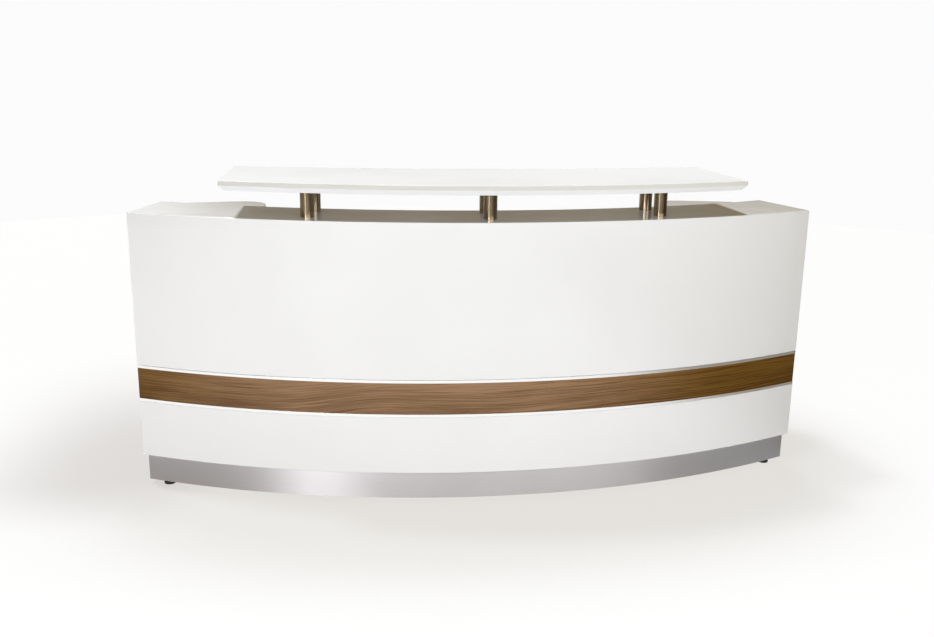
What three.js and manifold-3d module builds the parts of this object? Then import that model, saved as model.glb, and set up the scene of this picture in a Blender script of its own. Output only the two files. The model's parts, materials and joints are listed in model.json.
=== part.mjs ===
// A bowed reception desk with a raised counter top on steel posts, a walnut band and a steel plinth.
// Millimetres, +Z up, +X along the front. Visitors stand at -Y and staff sit at +Y.
// The plan is drawn from the middle of the bowed front face, and the finished desk is then shifted
// so that the origin lies on the floor below the middle of its box.
import * as THREE from 'three';
import { mergeVertices } from 'three/addons/utils/BufferGeometryUtils.js';
import Module from 'manifold-3d';

const wasm = await Module();
wasm.setup();

// Overall plan
const WIDTH = 2400;
const FRONT_RADIUS = 2817;
const DEPTH = 760; // from the middle of the front to the rear edge of the worktop
const END_SPLAY = 12; // degrees that each end gable turns inwards towards the back
const TOWER_WIDTH = 424; // from the front corner to the inner edge of the wing top
const GAP = 0.3; // clearance between curved or turned neighbours

// Heights of the front, from the floor up
const FOOT_GAP = 18;
const PLINTH_HEIGHT = 100;
const LOWER_PANEL_HEIGHT = 200;
const TRIM_HEIGHT = 10;
const WALNUT_HEIGHT = 110;
const SHADOW_GAP = 1; // between the upper trim and the upper panel
const UPPER_PANEL_HEIGHT = 529;

// Layers of the front wall, from the visitor's face inwards
const FASCIA_THICKNESS = 16;
const WALNUT_SETBACK = 2;
const TRIM_SETBACK = 1;
const CORE_THICKNESS = 12;
const LINING_THICKNESS = 12;
const FRONT_WALL = 92; // from the visitor's face to the staff's face
const FORMER_THICKNESS = 18;
const KICK_SETBACK = 20.5;
const KICK_THICKNESS = 1.5;
const PLINTH_END_SETBACK = 11.5;

// Boards
const SHELF_DEPTH = 297;
const SHELF_THICKNESS = 30;
const GABLE_THICKNESS = 25;
const GABLE_SETBACK = 5; // from the desk's depth, as the other setbacks at the rear
const PANEL_THICKNESS = 18;
const PANEL_SETBACK = 15;
const PARTITION_SETBACK = 14; // behind the inner edge of the wing top
const WING_THICKNESS = 25;
const WING_SETBACK = 1; // at the gable
const WING_REAR_RISE = 58; // further back at the inner corner
const WING_CORNER_RADIUS = 90;
const WORKTOP_HEIGHT = 740;
const WORKTOP_THICKNESS = 25;
const WORKTOP_CORNER_RADIUS = 12;
const SIDE_PLINTH_WIDTH = 40;
const SIDE_PLINTH_SETBACK = 45;
const TOWER_SHELF_HEIGHT = 520;
const TOWER_SHELF_SETBACK = 35;

// Counter top and its posts
const COUNTER_LENGTH = 1748;
const COUNTER_OVERHANG = 80;
const COUNTER_FRONT_RADIUS = 2639;
const COUNTER_REAR = 470;
const COUNTER_REAR_RADIUS = 3749;
const COUNTER_THICKNESS = 32;
const COUNTER_BEVEL = 16;
const COUNTER_CORNER_RADIUS = 7;
const COUNTER_LEAST_CORNER = 3; // radius of a corner that is drawn in by more than it is rounded
const COUNTER_EDGE_ROUND = 2;
const POST_DIAMETER = 45;
const POST_WALL = 3;
const POST_HEIGHT = 96;
const POST_SETBACK = 86;
const POST_SPACING = 600;
const POST_PAIR_DEPTH = 146; // from a front post to the one behind it
const POST_PAIR_TOE_IN = 13; // how far the outer rear posts stand nearer to the middle
const POST_REAR_SHIFT = 6; // of the whole rear row, to the visitor's right

// Drawer pedestal
const PEDESTAL_WIDTH = 400;
const DRAWER_FRONT_HEIGHT = 150; // middle and top; the bottom front takes the rest of the height
const DRAWER_FRONT_GAP = 3; // between the fronts, and above and below them
const DRAWER_FRONT_THICKNESS = 18;
const DRAWER_SIDE_CLEARANCE = 2;
const DRAWER_BACK_CLEARANCE = 20;
const DRAWER_BOX_LIFT = 18; // from the bottom of the front to the bottom of the box
const DRAWER_BOX_DROP = 27; // from the top of the front to the top of the box
const DRAWER_WALL = 14;
const DRAWER_FLOOR = 10;
const RUNNER_HEIGHT = 20;
const RUNNER_LIFT = 34; // from the bottom of the box to the bottom of the runner
const GROOVE_DEPTH = 7; // in the side of a drawer, for its runner
const HANDLE_LENGTH = 150;
const HANDLE_BAR = 9;
const HANDLE_REACH = 30;
const HANDLE_HEIGHT = 12;
const HANDLE_DROP = 42; // from the top of the drawer front
const HANDLE_CORNER_RADIUS = 12;

// Cable grommets
const GROMMET_PITCH = 800;
const GROMMET_SETBACK = 85; // from the front edge of the worktop
const GROMMET_HOLE = 60;
const GROMMET_FLANGE = 74;
const GROMMET_FLANGE_THICKNESS = 2;
const GROMMET_WALL = 2.5;
const GROMMET_LEDGE = 2.5;
const GROMMET_CAP_THICKNESS = 5;
const CABLE_SLOT_WIDTH = 22;
const CABLE_SLOT_REACH = 9; // from the middle of the cap to the end of its slot

// Levelling feet
const FOOT_DIAMETER = 40;
const FOOT_PAD = 10;
const FOOT_CHAMFER = 3.3;
const FOOT_STEM = 8;
const FOOT_STEM_LENGTH = 53; // above the pad
const FOOT_HOLE_SPARE = 8; // room above the stem for screwing the foot in
const FOOT_DEPTH = 50; // front end feet, behind the visitor's face
const FOOT_CENTRE_INSET = 12; // the front centre foot, from the staff's face, where the plinth hides it
const FOOT_END_INSET = 84; // front feet, from the ends of the desk
const FOOT_REAR_INSET = 50; // rear feet, from the rear end of what carries them

// How finely round forms are divided
const ARC_STEPS = 24;
const SHORT_ARC_STEPS = 4;
const ROUND_SIDES = 32;
const STEM_SIDES = 16;
const SAME_POINT = 0.01; // points of an outline that are nearer than this are one

// Heights worked out from the ones above
const CASE_Z = FOOT_GAP + PLINTH_HEIGHT;
const LOWER_TRIM_Z = CASE_Z + LOWER_PANEL_HEIGHT;
const WALNUT_Z = LOWER_TRIM_Z + TRIM_HEIGHT;
const UPPER_TRIM_Z = WALNUT_Z + WALNUT_HEIGHT;
const UPPER_PANEL_Z = UPPER_TRIM_Z + TRIM_HEIGHT + SHADOW_GAP;
const FASCIA_TOP = UPPER_PANEL_Z + UPPER_PANEL_HEIGHT;
const SHELF_Z = FASCIA_TOP - SHELF_THICKNESS;
const WING_Z = SHELF_Z - WING_THICKNESS;
const WORKTOP_Z = WORKTOP_HEIGHT - WORKTOP_THICKNESS;
const COUNTER_Z = FASCIA_TOP + POST_HEIGHT;

// Places in plan worked out from the ones above
const HALF_WIDTH = WIDTH / 2;
const CORNER_Y = FRONT_RADIUS - Math.sqrt(FRONT_RADIUS ** 2 - HALF_WIDTH ** 2);
const SPLAY_ANGLE = THREE.MathUtils.degToRad(END_SPLAY);
const CORE_DEPTH = FASCIA_THICKNESS + GAP;
const FORMER_DEPTH = CORE_DEPTH + CORE_THICKNESS + GAP;
const BEAM_DEPTH = KICK_SETBACK + KICK_THICKNESS + GAP;
const STAFF_DEPTH = FRONT_WALL + GAP; // boards that butt against the staff's face
const INSIDE_GABLE = GABLE_THICKNESS + GAP;
const GABLE_REAR = DEPTH - GABLE_SETBACK;
const PANEL_REAR = DEPTH - PANEL_SETBACK;
const WING_REAR = DEPTH - WING_SETBACK;
const SIDE_PLINTH_REAR = DEPTH - SIDE_PLINTH_SETBACK;
const TOWER_SHELF_REAR = DEPTH - TOWER_SHELF_SETBACK;
const WING_INNER_X = HALF_WIDTH - TOWER_WIDTH;
const PARTITION_X = WING_INNER_X + PARTITION_SETBACK;
const PEDESTAL_X = PARTITION_X - PEDESTAL_WIDTH;
const KNEE_MIDDLE_X = (PEDESTAL_X - PANEL_THICKNESS - PARTITION_X) / 2;

const point = (x, y) => new THREE.Vector2(x, y);

// Y of the arc that lies a depth behind the visitor's face, at x
const arcY = (x, depth) => FRONT_RADIUS - Math.sqrt((FRONT_RADIUS - depth) ** 2 - x * x);

// X of the line that lies an inset inside the right gable's outer face, at y
const endX = (y, inset) =>
  HALF_WIDTH - (y - CORNER_Y) * Math.tan(SPLAY_ANGLE) - inset / Math.cos(SPLAY_ANGLE);

const onArc = (x, depth) => point(x, arcY(x, depth));
const onEnd = (y, inset) => point(endX(y, inset), y);
const arcAngle = (p) => Math.atan2(p.y - FRONT_RADIUS, p.x);

// Where the arc at a depth meets the line at an inset inside the right gable's outer face.
// With v the distance forward of the arc's centre, the line is x = a + t v, and x^2 + v^2 = r^2.
function arcEnd(depth, inset) {
  const radius = FRONT_RADIUS - depth;
  const t = Math.tan(SPLAY_ANGLE);
  const a = endX(FRONT_RADIUS, inset);
  const v = (-a * t + Math.sqrt(radius ** 2 * (1 + t * t) - a * a)) / (1 + t * t);
  return point(a + t * v, FRONT_RADIUS - v);
}

function extrude(shape, height, curveSegments = SHORT_ARC_STEPS) {
  return new THREE.ExtrudeGeometry(shape, { depth: height, bevelEnabled: false, curveSegments });
}

// A box given by its lowest and highest corners
function block(x0, y0, z0, x1, y1, z1) {
  const outline = [point(x0, y0), point(x1, y0), point(x1, y1), point(x0, y1)];
  return extrude(new THREE.Shape(outline), z1 - z0).translate(0, 0, z0);
}

// An upright cylinder on a given foot point
function peg(radius, x, y, z, height, sides) {
  const geometry = new THREE.CylinderGeometry(radius, radius, height, sides);
  return geometry.rotateX(Math.PI / 2).translate(x, y, z + height / 2);
}

// A solid of revolution about Z from radius and height pairs that close on the axis or on themselves
function turned(profile, sides = ROUND_SIDES) {
  return new THREE.LatheGeometry(profile.map(([r, z]) => point(r, z)), sides).rotateX(Math.PI / 2);
}

// The mirror image of a solid across the middle plane, with its faces turned out again
function mirrored(geometry) {
  const copy = geometry.index ? geometry.toNonIndexed() : geometry.clone();
  const place = copy.attributes.position;
  const corner = new THREE.Vector3();
  const other = new THREE.Vector3();
  copy.scale(-1, 1, 1);
  for (let first = 0; first < place.count; first += 3) {
    corner.fromBufferAttribute(place, first + 1);
    other.fromBufferAttribute(place, first + 2);
    place.setXYZ(first + 1, other.x, other.y, other.z);
    place.setXYZ(first + 2, corner.x, corner.y, corner.z);
  }
  copy.computeVertexNormals();
  return copy;
}

function toSolid(geometry) {
  const bare = geometry.clone();
  bare.deleteAttribute('normal');
  bare.deleteAttribute('uv');
  const merged = mergeVertices(bare);
  const vertProperties = new Float32Array(merged.attributes.position.array);
  const triVerts = new Uint32Array(merged.index.array);
  return new wasm.Manifold(new wasm.Mesh({ numProp: 3, vertProperties, triVerts }));
}

function toGeometry(solid) {
  const mesh = solid.getMesh();
  const geometry = new THREE.BufferGeometry();
  geometry.setAttribute('position', new THREE.BufferAttribute(mesh.vertProperties, 3));
  geometry.setIndex(new THREE.BufferAttribute(mesh.triVerts, 1));
  geometry.computeVertexNormals();
  return geometry;
}

// A solid with every tool of a list cut out of it
function cut(geometry, tools) {
  const left = tools.reduce((solid, tool) => solid.subtract(toSolid(tool)), toSolid(geometry));
  return toGeometry(left);
}

// A bowed layer between two depths, cut off along both gables
function bowedLayer(frontDepth, backDepth, endInset, height) {
  const front = arcAngle(arcEnd(frontDepth, endInset));
  const back = arcAngle(arcEnd(backDepth, endInset));
  const shape = new THREE.Shape();
  shape.absarc(0, FRONT_RADIUS, FRONT_RADIUS - frontDepth, -Math.PI - front, front, false);
  shape.absarc(0, FRONT_RADIUS, FRONT_RADIUS - backDepth, back, -Math.PI - back, true);
  return extrude(shape, height, ARC_STEPS);
}

// An outline whose front edge follows the bow from one point to another
function bowedOutline(depth, from, to) {
  const shape = new THREE.Shape();
  shape.absarc(0, FRONT_RADIUS, FRONT_RADIUS - depth, arcAngle(from), arcAngle(to), false);
  return shape;
}

// Draws a straight run to a corner, rounded off towards the point after it
function roundTo(path, corner, next, radius) {
  const behind = path.currentPoint.clone().sub(corner).normalize();
  const ahead = next.clone().sub(corner).normalize();
  const half = Math.acos(behind.dot(ahead)) / 2;
  const centre = behind.clone().add(ahead).setLength(radius / Math.sin(half)).add(corner);
  const first = behind.setLength(radius / Math.tan(half)).add(corner).sub(centre);
  const last = ahead.setLength(radius / Math.tan(half)).add(corner).sub(centre);
  const clockwise = first.cross(last) < 0;
  path.lineTo(centre.x + first.x, centre.y + first.y);
  path.absarc(centre.x, centre.y, radius, first.angle(), last.angle(), clockwise);
  return centre;
}

// A board with a bowed front edge and straight sides: corners run from its right rear to its left rear
function bowedBoard(depth, from, to, corners, height, curveSegments = SHORT_ARC_STEPS) {
  const shape = bowedOutline(depth, from, to);
  corners.forEach((corner) => shape.lineTo(corner.x, corner.y));
  return extrude(shape, height, curveSegments);
}

// An upright panel across the desk, from the staff's face of the front to the rear
function crossPanel(x0, x1, height) {
  const rear = [point(x1, PANEL_REAR), point(x0, PANEL_REAR)];
  return bowedBoard(STAFF_DEPTH, onArc(x0, STAFF_DEPTH), onArc(x1, STAFF_DEPTH), rear, height);
}

// A level board in the right tower, between its partition and its gable
function towerBoard(rear) {
  const innerX = PARTITION_X + PANEL_THICKNESS;
  const corners = [onEnd(rear, INSIDE_GABLE), point(innerX, rear)];
  const from = onArc(innerX, STAFF_DEPTH);
  return bowedBoard(STAFF_DEPTH, from, arcEnd(STAFF_DEPTH, INSIDE_GABLE), corners, PANEL_THICKNESS);
}

// The right gable: its front edge lies behind the fascia
function gable() {
  const from = arcEnd(CORE_DEPTH, GABLE_THICKNESS);
  const corners = [onEnd(GABLE_REAR, 0), onEnd(GABLE_REAR, GABLE_THICKNESS)];
  return bowedBoard(CORE_DEPTH, from, arcEnd(CORE_DEPTH, 0), corners, SHELF_Z - CASE_Z);
}

// The right wing top, with its inner rear corner rounded off
function wingTop() {
  const from = onArc(WING_INNER_X, STAFF_DEPTH);
  const shape = bowedOutline(STAFF_DEPTH, from, arcEnd(STAFF_DEPTH, INSIDE_GABLE));
  const outer = onEnd(WING_REAR, INSIDE_GABLE);
  shape.lineTo(outer.x, outer.y);
  const inner = point(WING_INNER_X, WING_REAR + WING_REAR_RISE);
  const centre = roundTo(shape, inner, from, WING_CORNER_RADIUS);
  const geometry = extrude(shape, WING_THICKNESS, ARC_STEPS / 2);
  return { geometry, rearmost: centre.y + WING_CORNER_RADIUS };
}

// The worktop between the partitions, with its rear corners eased and a hole for each grommet
function worktop(grommets) {
  const right = onArc(PARTITION_X, STAFF_DEPTH);
  const left = onArc(-PARTITION_X, STAFF_DEPTH);
  const rightRear = point(PARTITION_X, DEPTH);
  const leftRear = point(-PARTITION_X, DEPTH);
  const shape = bowedOutline(STAFF_DEPTH, left, right);
  roundTo(shape, rightRear, leftRear, WORKTOP_CORNER_RADIUS);
  roundTo(shape, leftRear, left, WORKTOP_CORNER_RADIUS);
  for (const place of grommets) {
    shape.holes.push(new THREE.Path().absarc(place.x, place.y, GROMMET_HOLE / 2, 0, 2 * Math.PI, true));
  }
  return extrude(shape, WORKTOP_THICKNESS, ARC_STEPS);
}

// A plinth beam under the right gable, drilled for its foot
function sidePlinth(foot) {
  const inner = PLINTH_END_SETBACK + SIDE_PLINTH_WIDTH;
  const from = arcEnd(STAFF_DEPTH, inner);
  const corners = [onEnd(SIDE_PLINTH_REAR, PLINTH_END_SETBACK), onEnd(SIDE_PLINTH_REAR, inner)];
  const to = arcEnd(STAFF_DEPTH, PLINTH_END_SETBACK);
  return cut(bowedBoard(STAFF_DEPTH, from, to, corners, PLINTH_HEIGHT), [footHole(foot)]);
}

// The counter's outline, drawn in by an inset: a bowed front, straight ends and a hollow back.
// Each corner is rounded by an arc that touches the straight end and the bow next to it.
function counterOutline(inset) {
  const x = COUNTER_LENGTH / 2 - inset;
  const round = Math.max(COUNTER_CORNER_RADIUS - inset, COUNTER_LEAST_CORNER);
  const frontCentre = COUNTER_FRONT_RADIUS - COUNTER_OVERHANG;
  const frontRadius = COUNTER_FRONT_RADIUS - inset;
  const rearCentre = COUNTER_REAR + COUNTER_REAR_RADIUS;
  const rearRadius = COUNTER_REAR_RADIUS + inset;
  const cornerX = x - round;
  const frontY = frontCentre - Math.sqrt((frontRadius - round) ** 2 - cornerX ** 2);
  const rearY = rearCentre - Math.sqrt((rearRadius + round) ** 2 - cornerX ** 2);
  const frontEnd = Math.atan2(frontY - frontCentre, cornerX);
  const rearEnd = Math.atan2(rearY - rearCentre, cornerX);
  const shape = new THREE.Shape();
  shape.absarc(0, frontCentre, frontRadius, -Math.PI - frontEnd, frontEnd, false);
  shape.absarc(cornerX, frontY, round, frontEnd, 0, false);
  shape.absarc(cornerX, rearY, round, 0, rearEnd + Math.PI, false);
  shape.absarc(0, rearCentre, rearRadius, rearEnd, -Math.PI - rearEnd, true);
  shape.absarc(-cornerX, rearY, round, -rearEnd, Math.PI, false);
  shape.absarc(-cornerX, frontY, round, Math.PI, Math.PI - frontEnd, false);
  return shape;
}

// A loft through outlines that all have the same number of points, closed at both ends
function loft(rings) {
  const count = rings[0].points.length;
  const vertices = rings.flatMap((ring) => ring.points.flatMap((p) => [p.x, p.y, ring.z]));
  const triangles = [];
  for (let level = 0; level + 1 < rings.length; level += 1) {
    for (let i = 0; i < count; i += 1) {
      const a = level * count + i;
      const b = level * count + ((i + 1) % count);
      triangles.push(a, b, b + count, a, b + count, a + count);
    }
  }
  const last = (rings.length - 1) * count;
  for (const [a, b, c] of THREE.ShapeUtils.triangulateShape(rings[0].points, [])) {
    triangles.push(c, b, a);
  }
  for (const [a, b, c] of THREE.ShapeUtils.triangulateShape(rings.at(-1).points, [])) {
    triangles.push(last + a, last + b, last + c);
  }
  const geometry = new THREE.BufferGeometry();
  geometry.setAttribute('position', new THREE.Float32BufferAttribute(vertices, 3));
  geometry.setIndex(triangles);
  geometry.computeVertexNormals();
  return geometry;
}

// The points of a closed outline, without the ones that repeat the point before them
function ringPoints(shape, steps) {
  const points = shape.getPoints(steps);
  return points.filter((p, i) => p.distanceTo(points.at(i - 1)) > SAME_POINT);
}

// The counter top: a vertical edge above a bevel that thins its underside
function counterTop() {
  const levels = [
    [COUNTER_BEVEL, 0],
    [0, COUNTER_BEVEL],
    [0, COUNTER_THICKNESS - COUNTER_EDGE_ROUND],
    [COUNTER_EDGE_ROUND, COUNTER_THICKNESS],
  ];
  return loft(levels.map(([inset, z]) => ({ points: ringPoints(counterOutline(inset), ARC_STEPS / 2), z })));
}

function post() {
  const outer = POST_DIAMETER / 2;
  const inner = outer - POST_WALL;
  return turned([[inner, 0], [outer, 0], [outer, POST_HEIGHT], [inner, POST_HEIGHT], [inner, 0]]);
}

// A levelling foot: a pad with a chamfered rim and a stem
function foot() {
  const pad = FOOT_DIAMETER / 2;
  const stem = FOOT_STEM / 2;
  const top = FOOT_PAD + FOOT_STEM_LENGTH;
  return turned([
    [0, 0], [pad, 0], [pad, FOOT_PAD - FOOT_CHAMFER], [pad - FOOT_CHAMFER, FOOT_PAD],
    [stem, FOOT_PAD], [stem, top], [0, top],
  ], STEM_SIDES);
}

// What is drilled out of a foot's carrier, from below
function footHole(place) {
  const height = FOOT_PAD + FOOT_STEM_LENGTH + FOOT_HOLE_SPARE - FOOT_GAP;
  return peg(FOOT_STEM / 2 + GAP, place.x, place.y, -GAP, height + GAP, STEM_SIDES);
}

// A drawer: an open box with a groove in each side for its runner
function drawerBox(height) {
  const x0 = PEDESTAL_X + DRAWER_SIDE_CLEARANCE;
  const x1 = PARTITION_X - DRAWER_SIDE_CLEARANCE;
  const y0 = arcY(PARTITION_X, FRONT_WALL) + DRAWER_BACK_CLEARANCE;
  const y1 = PANEL_REAR - DRAWER_FRONT_THICKNESS;
  const past = DRAWER_WALL; // cutting tools run on past the faces they open
  const w = DRAWER_WALL;
  const hollow = block(x0 + w, y0 + w, DRAWER_FLOOR, x1 - w, y1 - w, height + past);
  const z0 = RUNNER_LIFT - GAP;
  const z1 = RUNNER_LIFT + RUNNER_HEIGHT + GAP;
  const leftGroove = block(x0 - past, y0 - past, z0, x0 + GROOVE_DEPTH, y1 - w, z1);
  const rightGroove = block(x1 - GROOVE_DEPTH, y0 - past, z0, x1 + past, y1 - w, z1);
  return cut(block(x0, y0, 0, x1, y1, height), [hollow, leftGroove, rightGroove]);
}

function drawerFront(height) {
  const x0 = PEDESTAL_X + DRAWER_SIDE_CLEARANCE;
  const x1 = PARTITION_X - DRAWER_SIDE_CLEARANCE;
  return block(x0, PANEL_REAR - DRAWER_FRONT_THICKNESS, 0, x1, PANEL_REAR, height);
}

// A runner on the left or right wall of the pedestal, standing into a drawer's groove
function runner(onLeft) {
  const reach = DRAWER_SIDE_CLEARANCE + GROOVE_DEPTH - GAP;
  const wall = onLeft ? PEDESTAL_X : PARTITION_X - reach;
  const y0 = arcY(PARTITION_X, FRONT_WALL) + DRAWER_BACK_CLEARANCE;
  const y1 = PANEL_REAR - DRAWER_FRONT_THICKNESS - DRAWER_WALL - GAP;
  return block(wall, y0, 0, wall + reach, y1, RUNNER_HEIGHT);
}

// A bow handle, drawn in plan as a rounded bracket on the drawer front
function handle() {
  const x = HANDLE_LENGTH / 2;
  const inner = x - HANDLE_BAR;
  const reach = HANDLE_REACH - HANDLE_BAR;
  const innerRound = HANDLE_CORNER_RADIUS - HANDLE_BAR;
  const shape = new THREE.Shape();
  shape.moveTo(x, 0);
  roundTo(shape, point(x, HANDLE_REACH), point(-x, HANDLE_REACH), HANDLE_CORNER_RADIUS);
  roundTo(shape, point(-x, HANDLE_REACH), point(-x, 0), HANDLE_CORNER_RADIUS);
  shape.lineTo(-x, 0);
  shape.lineTo(-inner, 0);
  roundTo(shape, point(-inner, reach), point(inner, reach), innerRound);
  roundTo(shape, point(inner, reach), point(inner, 0), innerRound);
  shape.lineTo(inner, 0);
  return extrude(shape, HANDLE_HEIGHT);
}

// A flanged liner for a cable hole, with a ledge that carries its cap
function grommetLiner() {
  const outer = GROMMET_HOLE / 2 - GAP;
  const seat = outer - GROMMET_WALL;
  const bore = seat - GROMMET_LEDGE;
  const flange = GROMMET_FLANGE / 2;
  const top = WORKTOP_THICKNESS + GROMMET_FLANGE_THICKNESS;
  const ledge = top - GROMMET_CAP_THICKNESS;
  return turned([
    [bore, 0], [outer, 0], [outer, WORKTOP_THICKNESS], [flange, WORKTOP_THICKNESS],
    [flange, top], [seat, top], [seat, ledge], [bore, ledge], [bore, 0],
  ]);
}

// A round cap with a slot for cables in its rim
function grommetCap() {
  const radius = GROMMET_HOLE / 2 - GAP - GROMMET_WALL - GAP;
  const half = CABLE_SLOT_WIDTH / 2;
  const slot = block(-half, CABLE_SLOT_REACH, -half, half, 2 * radius, half);
  return cut(peg(radius, 0, 0, 0, GROMMET_CAP_THICKNESS, ROUND_SIDES), [slot]);
}

function finish(color, roughness, metalness = 0) {
  return () => new THREE.MeshStandardMaterial({ color, roughness, metalness });
}

const whiteLacquer = finish(0xeeeeec, 0.18);
const whiteSatin = finish(0xf0f0ee, 0.5);
const whiteBoard = finish(0xe6e6e3, 0.45);
const walnutVeneer = finish(0x79553c, 0.4);
const plywood = finish(0xc9ac80, 0.8);
const blackBoard = finish(0x2c2c2e, 0.7);
const aluminium = finish(0xc9cbcc, 0.3, 1);
const brushedSteel = finish(0xb4b4b3, 0.35, 1);
const greyPlastic = finish(0x8d8f92, 0.5);
const blackPlastic = finish(0x1b1b1c, 0.6);

const plan = new THREE.Group();

function add(name, geometry, material, z, x = 0, y = 0) {
  const mesh = new THREE.Mesh(geometry, material());
  mesh.name = name;
  mesh.position.set(x, y, z);
  plan.add(mesh);
}

// Adds a piece made for the right end, and its mirror image for the left end
function addPair(name, geometry, material, z) {
  add(`right_${name}`, geometry, material, z);
  add(`left_${name}`, mirrored(geometry), material, z);
}

// Where the levelling feet stand
const frontFootX = HALF_WIDTH - FOOT_END_INSET;
const frontFeet = {
  front_left_foot: onArc(-frontFootX, FOOT_DEPTH),
  front_centre_foot: onArc(0, FRONT_WALL - FOOT_CENTRE_INSET),
  front_right_foot: onArc(frontFootX, FOOT_DEPTH),
};
const gableFoot = onEnd(SIDE_PLINTH_REAR - FOOT_REAR_INSET, PLINTH_END_SETBACK + SIDE_PLINTH_WIDTH / 2);
const panelFootY = PANEL_REAR - FOOT_REAR_INSET;
const partitionFoot = point(PARTITION_X + PANEL_THICKNESS / 2, panelFootY);
const pedestalFoot = point(PEDESTAL_X - PANEL_THICKNESS / 2, panelFootY);
const feet = {
  ...frontFeet,
  left_gable_foot: point(-gableFoot.x, gableFoot.y),
  right_gable_foot: gableFoot,
  left_partition_foot: point(-partitionFoot.x, partitionFoot.y),
  right_partition_foot: partitionFoot,
  pedestal_foot: pedestalFoot,
};

// Front wall
const fascia = (height, setback) => bowedLayer(setback, FASCIA_THICKNESS, 0, height);
const coreHeight = SHELF_Z - CASE_Z;
const core = bowedLayer(CORE_DEPTH, CORE_DEPTH + CORE_THICKNESS, INSIDE_GABLE, coreHeight);
const lining = bowedLayer(FRONT_WALL - LINING_THICKNESS, FRONT_WALL, INSIDE_GABLE, coreHeight);
const formerBack = FRONT_WALL - LINING_THICKNESS - GAP;
const former = bowedLayer(FORMER_DEPTH, formerBack, INSIDE_GABLE, FORMER_THICKNESS);
add('upper_fascia_panel', fascia(UPPER_PANEL_HEIGHT, 0), whiteLacquer, UPPER_PANEL_Z);
add('lower_fascia_panel', fascia(LOWER_PANEL_HEIGHT, 0), whiteLacquer, CASE_Z);
add('walnut_band', fascia(WALNUT_HEIGHT, WALNUT_SETBACK), walnutVeneer, WALNUT_Z);
add('upper_band_trim', fascia(TRIM_HEIGHT, TRIM_SETBACK), aluminium, UPPER_TRIM_Z);
add('lower_band_trim', fascia(TRIM_HEIGHT, TRIM_SETBACK), aluminium, LOWER_TRIM_Z);
add('front_core', core, whiteBoard, CASE_Z);
add('lower_former', former, plywood, CASE_Z);
add('inner_lining', lining, whiteBoard, CASE_Z);
add('top_shelf', bowedLayer(CORE_DEPTH, SHELF_DEPTH, 0, SHELF_THICKNESS), whiteLacquer, SHELF_Z);

// Plinth
const beam = bowedLayer(BEAM_DEPTH, FRONT_WALL, PLINTH_END_SETBACK + KICK_THICKNESS, PLINTH_HEIGHT);
const kick = bowedLayer(KICK_SETBACK, KICK_SETBACK + KICK_THICKNESS, PLINTH_END_SETBACK, PLINTH_HEIGHT);
add('plinth_beam', cut(beam, Object.values(frontFeet).map(footHole)), blackBoard, FOOT_GAP);
add('kick_plate', kick, brushedSteel, FOOT_GAP);
addPair('side_plinth', sidePlinth(gableFoot), blackBoard, FOOT_GAP);

// Ends and towers
const wing = wingTop();
const partitionHeight = WING_Z - FOOT_GAP;
const partition = crossPanel(PARTITION_X, PARTITION_X + PANEL_THICKNESS, partitionHeight);
addPair('gable', gable(), whiteLacquer, CASE_Z);
addPair('partition', cut(partition, [footHole(partitionFoot)]), whiteBoard, FOOT_GAP);
addPair('tower_floor', towerBoard(TOWER_SHELF_REAR), whiteBoard, CASE_Z);
addPair('tower_shelf', towerBoard(TOWER_SHELF_REAR), whiteBoard, TOWER_SHELF_HEIGHT);
addPair('wing_top', wing.geometry, whiteLacquer, WING_Z);

// Worktop and its cable grommets
const grommets = { left: -GROMMET_PITCH / 2, right: GROMMET_PITCH / 2 };
const grommetPlaces = Object.entries(grommets).map(([side, offset]) => {
  const x = KNEE_MIDDLE_X + offset;
  return { side, x, y: arcY(x, STAFF_DEPTH) + GROMMET_SETBACK };
});
const capZ = WORKTOP_HEIGHT + GROMMET_FLANGE_THICKNESS - GROMMET_CAP_THICKNESS;
add('worktop', worktop(grommetPlaces), whiteBoard, WORKTOP_Z);
for (const { side, x, y } of grommetPlaces) {
  add(`${side}_grommet_liner`, grommetLiner(), greyPlastic, WORKTOP_Z, x, y);
  add(`${side}_grommet_cap`, grommetCap(), greyPlastic, capZ, x, y);
}

// Drawer pedestal
const pedestalSide = crossPanel(PEDESTAL_X - PANEL_THICKNESS, PEDESTAL_X, WORKTOP_Z - FOOT_GAP);
const floorFront = arcY(PARTITION_X, FRONT_WALL) + DRAWER_BACK_CLEARANCE;
const floorRear = PANEL_REAR - DRAWER_FRONT_THICKNESS;
const pedestalFloor = block(PEDESTAL_X, floorFront, 0, PARTITION_X, floorRear, PANEL_THICKNESS);
add('pedestal_side', cut(pedestalSide, [footHole(pedestalFoot)]), whiteBoard, FOOT_GAP);
add('pedestal_floor', pedestalFloor, whiteBoard, CASE_Z);
const drawerNames = ['bottom', 'middle', 'top'];
const gapsTogether = DRAWER_FRONT_GAP * (drawerNames.length + 1);
const frontsTogether = WORKTOP_Z - CASE_Z - PANEL_THICKNESS - gapsTogether;
const bottomFrontHeight = frontsTogether - DRAWER_FRONT_HEIGHT * (drawerNames.length - 1);
let drawerZ = CASE_Z + PANEL_THICKNESS + DRAWER_FRONT_GAP;
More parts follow.
